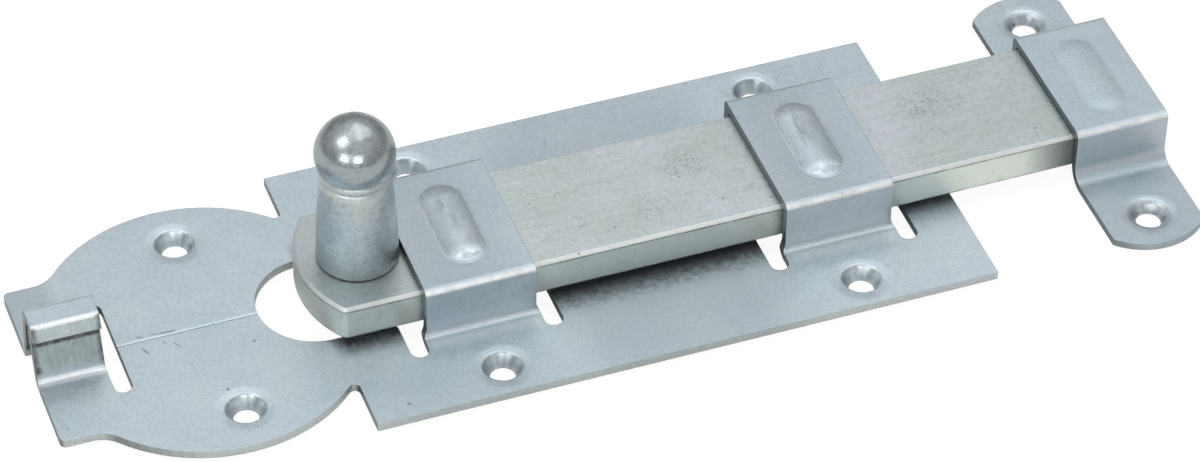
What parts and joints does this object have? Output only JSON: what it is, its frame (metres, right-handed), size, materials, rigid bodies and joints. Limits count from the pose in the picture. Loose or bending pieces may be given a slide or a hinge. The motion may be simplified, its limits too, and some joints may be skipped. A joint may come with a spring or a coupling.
{
  "type": "slide bolt",
  "caption": "Flat slide bolt: a sheet-steel plate with folded guides carries a sliding flat bar with a turned knob, a padlock loop at its tail and a separate keeper.",
  "frame": {"origin": "centre of the plate's four-screw pattern, on the flat back face of the sheet, which lies against the door; the screw dimples stand 1.1 mm below it and press into the wood", "axes": "+X along the bar from the padlock loop towards the keeper, +Y across the bar, +Z away from the door"},
  "size_m": [0.2017, 0.0688, 0.0407],
  "materials": {
    "plate_zinc": "bright zinc-plated sheet steel",
    "bar_zinc": "bright zinc-plated drawn flat bar",
    "knob_zinc": "zinc-plated turned steel",
    "keeper_zinc": "bright zinc-plated sheet steel"
  },
  "bodies": {
    "fixed": {"base_plate": "plate_zinc", "keeper": "keeper_zinc"},
    "bolt": {"bolt_bar": "bar_zinc", "knob": "knob_zinc"}
  },
  "joints": [
    {"name": "bolt_slide", "type": "slide", "parent": "fixed", "child": "bolt", "axis": [-1, 0, 0], "range_m": [0, 0.0345]}
  ]
}
